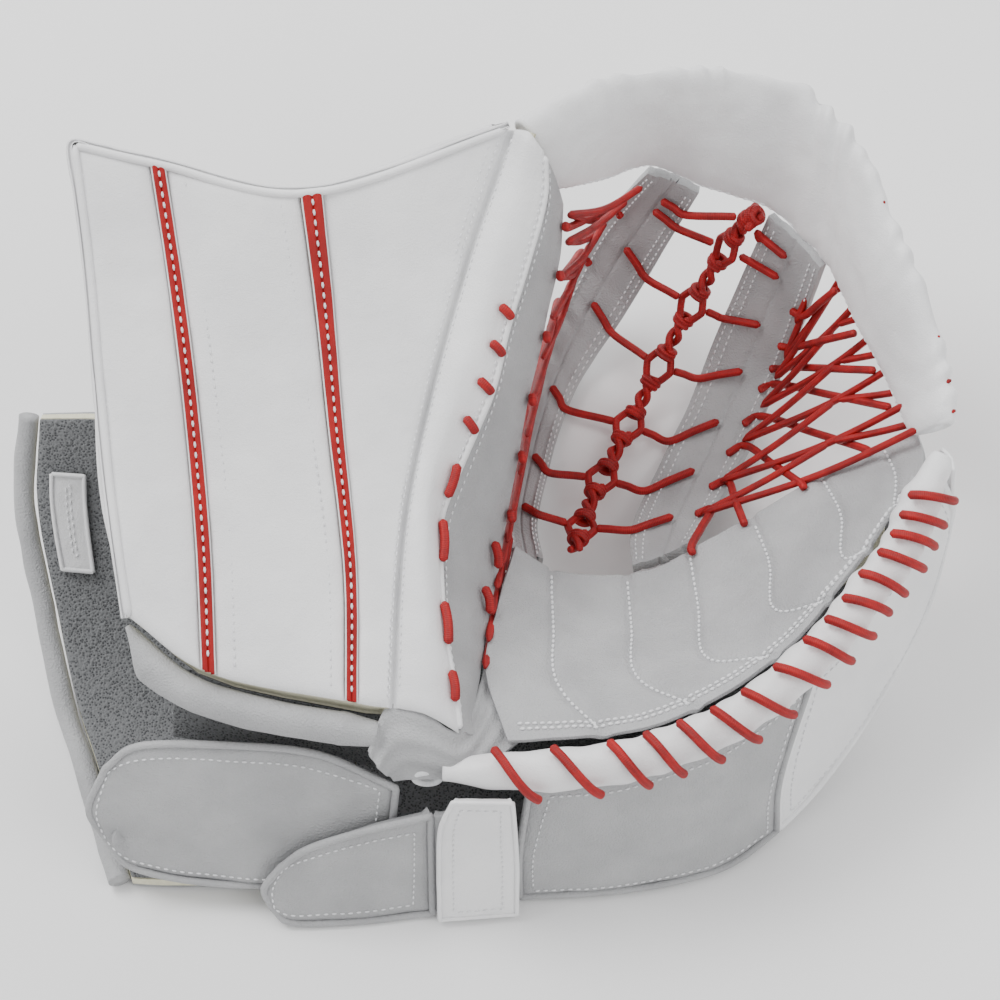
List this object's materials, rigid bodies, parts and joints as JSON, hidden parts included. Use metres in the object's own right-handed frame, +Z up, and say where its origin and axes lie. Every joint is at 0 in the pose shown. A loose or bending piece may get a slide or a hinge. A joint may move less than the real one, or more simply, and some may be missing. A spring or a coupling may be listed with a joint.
{
  "type": "goalie catch glove",
  "caption": "Ice hockey goalie catch glove for the left hand, lying on its back: padded cuff, thumb, laced pocket net between two strips, padded tee, finger side and wrist straps.",
  "frame": {"origin": "middle of the bounding box, on the surface that the glove lies on", "axes": "+X from the cuff to the fingertips, +Y from the straps to the top of the tee, +Z up out of the pocket"},
  "size_m": [0.3974, 0.3204, 0.2105],
  "materials": {
    "white_leather": "smooth coated leather",
    "grey_leather": "fine grained leather",
    "red_binding": "folded binding",
    "red_lace": "waxed round lace",
    "foam": "closed-cell foam",
    "plastic_board": "stiff sheet",
    "dark_lining": "spacer mesh",
    "white_webbing": "woven"
  },
  "bodies": {
    "hand": {"palm_cover": "grey_leather", "palm_foam": "foam", "palm_lining": "dark_lining", "finger_roll": "white_leather", "roll_lacing": "red_lace", "finger_shield": "grey_leather", "fingertip_shell": "white_leather", "fingertip_base": "white_leather", "fingertip_end": "white_leather", "hand_board": "plastic_board", "hand_back_foam": "foam", "hand_back_lining": "dark_lining", "index_wall": "white_leather", "finger_dividers": "dark_lining", "tee_side_cover": "white_leather", "tee_side_foam": "foam", "tee_side_core": "foam", "tee_corner_gusset": "white_leather", "pocket_strip_finger": "grey_leather", "net_centre_chain": "red_lace", "net_finger_side": "red_lace", "wrist_cover": "white_leather", "wrist_foam": "foam", "wrist_lining": "dark_lining", "wrist_rim_binding": "grey_leather", "wrist_tab": "white_leather", "wrist_sleeve": "dark_lining", "strap_anchor": "grey_leather", "keeper_tab": "grey_leather", "webbing_loop": "white_webbing"},
    "thumb": {"cuff_panel_outer": "white_leather", "cuff_panel_centre": "white_leather", "cuff_panel_inner": "white_leather", "cuff_stripe_outer": "red_binding", "cuff_stripe_inner": "red_binding", "cuff_edge_gusset": "white_leather", "cuff_bottom_roll": "grey_leather", "cuff_foam": "foam", "cuff_board": "plastic_board", "cuff_lining": "dark_lining", "thumb_cover": "white_leather", "thumb_foam": "foam", "thumb_wall": "grey_leather", "thumb_back": "grey_leather", "thumb_stall": "dark_lining", "thumb_lacing": "red_lace", "tee_top_cover": "white_leather", "tee_top_foam": "foam", "tee_top_core": "foam", "pocket_strip_thumb": "grey_leather", "net_thumb_side": "red_lace"},
    "wrist_strap": {"wrist_strap_pad": "grey_leather"},
    "hand_strap": {"hand_strap_pad": "grey_leather"}
  },
  "joints": [
    {"name": "glove_break", "type": "hinge", "parent": "hand", "child": "thumb", "pos_m": [-0.009, -0.1288, 0.084], "axis": [0.4307, 0.8931, 0.1298], "range_deg": [0, 20]},
    {"name": "wrist_strap_open", "type": "hinge", "parent": "hand", "child": "wrist_strap", "pos_m": [-0.035, -0.1318, 0.044], "axis": [0, 0, 1], "range_deg": [0, 60]},
    {"name": "hand_strap_open", "type": "hinge", "parent": "hand", "child": "hand_strap", "pos_m": [-0.021, -0.1558, 0.002], "axis": [0, 0.2577, 0.9662], "range_deg": [0, 80]}
  ],
  "couplings": [
    {"joint": "hand_strap_open", "follows": "wrist_strap_open", "ratio": 1.3333}
  ]
}
